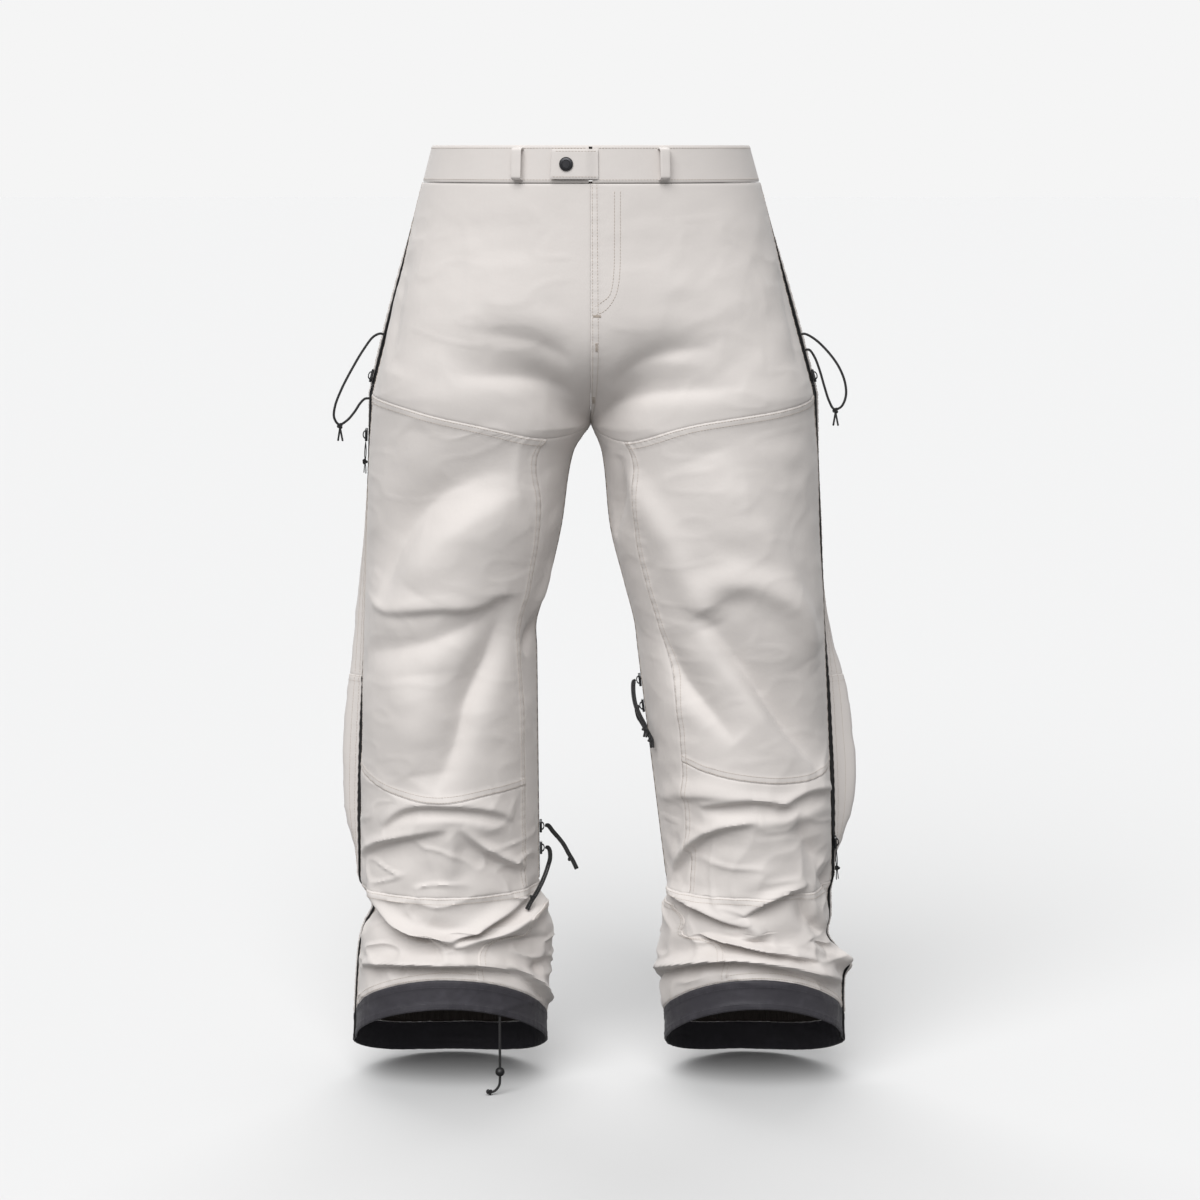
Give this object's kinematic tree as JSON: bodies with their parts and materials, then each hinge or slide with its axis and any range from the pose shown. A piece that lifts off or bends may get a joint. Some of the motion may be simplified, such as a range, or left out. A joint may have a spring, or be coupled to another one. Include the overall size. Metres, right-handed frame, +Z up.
{
  "type": "ski pants",
  "caption": "Loose ski pants hanging as worn, with articulated knees, full-length side zips, inner leg vents, snow gaiters and a fly closed by a snap tab.",
  "frame": {"origin": "centre of the waist opening, level with the waistband's rim", "axes": "+Z up towards the waist, -Y the front of the pants, +X the wearer's left"},
  "size_m": [0.5426, 0.27, 1.0004],
  "materials": {
    "shell": "matte plain-weave nylon, light warm stone grey",
    "black_fabric": "matte black nylon",
    "webbing": "black ribbed webbing",
    "lining": "smooth brown-grey lining",
    "zip_tape": "black woven zip tape with moulded teeth",
    "slider": "black lacquered zinc",
    "snap": "satin black metal",
    "cord": "black braided cord",
    "moulded": "black moulded plastic"
  },
  "bodies": {
    "pants": {"front_thigh_right": "shell", "knee_panel_right": "shell", "shin_panel_right": "shell", "inner_leg_panel_right": "shell", "back_thigh_right": "shell", "calf_panel_right": "shell", "lower_leg_right": "shell", "kick_patch_right": "shell", "front_thigh_left": "shell", "knee_panel_left": "shell", "shin_panel_left": "shell", "inner_leg_panel_left": "shell", "back_thigh_left": "shell", "calf_panel_left": "shell", "lower_leg_left": "shell", "kick_patch_left": "shell", "seat_yoke": "shell", "waistband": "shell", "belt_loop_centre": "shell", "belt_loop_front_right": "shell", "belt_loop_back_right": "shell", "belt_loop_front_left": "shell", "belt_loop_back_left": "shell", "hem_band_right": "black_fabric", "hem_band_left": "black_fabric", "gaiter_right": "lining", "gaiter_left": "lining", "pocket_bag_right": "lining", "pocket_bag_left": "lining", "fly_facing": "lining", "side_zip_right": "zip_tape", "vent_zip_right": "zip_tape", "pocket_zip_right": "zip_tape", "side_zip_left": "zip_tape", "vent_zip_left": "zip_tape", "pocket_zip_left": "zip_tape", "fly_zip": "zip_tape", "snap_stud": "snap", "hip_cord_right": "cord", "hip_cord_left": "cord", "hem_cord": "cord"},
    "closure": {"closure_tab": "shell", "snap_cap": "snap"},
    "fly_slider": {"fly_slider": "slider"},
    "back_pocket_flap": {"back_pocket_flap": "shell"},
    "ball_lock": {"ball_lock": "moulded"},
    "pocket_slider_right": {"pocket_slider_right": "slider"},
    "side_slider_right": {"side_slider_right": "slider"},
    "side_pull_right": {"side_pull_right": "webbing"},
    "vent_upper_slider_right": {"vent_upper_slider_right": "slider", "vent_upper_cord_right": "cord"},
    "vent_lower_slider_right": {"vent_lower_slider_right": "slider", "vent_lower_cord_right": "cord"},
    "pocket_slider_left": {"pocket_slider_left": "slider"},
    "side_slider_left": {"side_slider_left": "slider"},
    "side_pull_left": {"side_pull_left": "webbing"},
    "vent_upper_slider_left": {"vent_upper_slider_left": "slider", "vent_upper_cord_left": "cord"},
    "vent_lower_slider_left": {"vent_lower_slider_left": "slider", "vent_lower_cord_left": "cord"}
  },
  "joints": [
    {"name": "closure_open", "type": "hinge", "parent": "pants", "child": "closure", "pos_m": [0.0075, -0.11929, -0.01898], "axis": [-0.0121, 0.0487, 0.9987], "range_deg": [0, 110]},
    {"name": "back_flap_lift", "type": "hinge", "parent": "pants", "child": "back_pocket_flap", "pos_m": [-0.11832, 0.11488, -0.11186], "axis": [0.8945, 0.447, -0.0007], "range_deg": [0, 130]},
    {"name": "fly_zip_slide", "type": "slide", "parent": "pants", "child": "fly_slider", "axis": [0, 0.0654, 0.9979], "range_m": [-0.09, 0]},
    {"name": "pocket_zip_slide_right", "type": "slide", "parent": "pants", "child": "pocket_slider_right", "axis": [0.2513, 0, 0.9679], "range_m": [0, 0.18]},
    {"name": "pocket_zip_slide_left", "type": "slide", "parent": "pants", "child": "pocket_slider_left", "axis": [-0.2653, 0, 0.9642], "range_m": [0, 0.18]},
    {"name": "side_zip_slide_right", "type": "slide", "parent": "pants", "child": "side_slider_right", "axis": [0.0342, -0.0199, 0.9992], "range_m": [-0.46, 0.028]},
    {"name": "side_zip_slide_left", "type": "slide", "parent": "pants", "child": "side_slider_left", "axis": [-0.0484, -0.0199, 0.9986], "range_m": [-0.026, 0.465]},
    {"name": "side_pull_swing_right", "type": "hinge", "parent": "side_slider_right", "child": "side_pull_right", "pos_m": [-0.23817, 0.00103, -0.30956], "axis": [0, 1, 0], "range_deg": [0, 135]},
    {"name": "side_pull_swing_left", "type": "hinge", "parent": "side_slider_left", "child": "side_pull_left", "pos_m": [0.26421, 0.00981, -0.74951], "axis": [0, -1, 0], "range_deg": [0, 135]},
    {"name": "vent_upper_slide_right", "type": "slide", "parent": "pants", "child": "vent_upper_slider_right", "axis": [-0.0083, -0.0199, 0.9998], "range_m": [0, 0.175]},
    {"name": "vent_lower_slide_right", "type": "slide", "parent": "pants", "child": "vent_lower_slider_right", "axis": [-0.0083, -0.0199, 0.9998], "range_m": [-0.008, 0]},
    {"name": "vent_upper_slide_left", "type": "slide", "parent": "pants", "child": "vent_upper_slider_left", "axis": [-0.124, -0.0198, 0.9921], "range_m": [0, 0.022]},
    {"name": "vent_lower_slide_left", "type": "slide", "parent": "pants", "child": "vent_lower_slider_left", "axis": [-0.124, -0.0198, 0.9921], "range_m": [-0.168, 0]},
    {"name": "ball_lock_slide", "type": "slide", "parent": "pants", "child": "ball_lock", "axis": [0, 0.0085, 1], "range_m": [0, 0.038]}
  ]
}
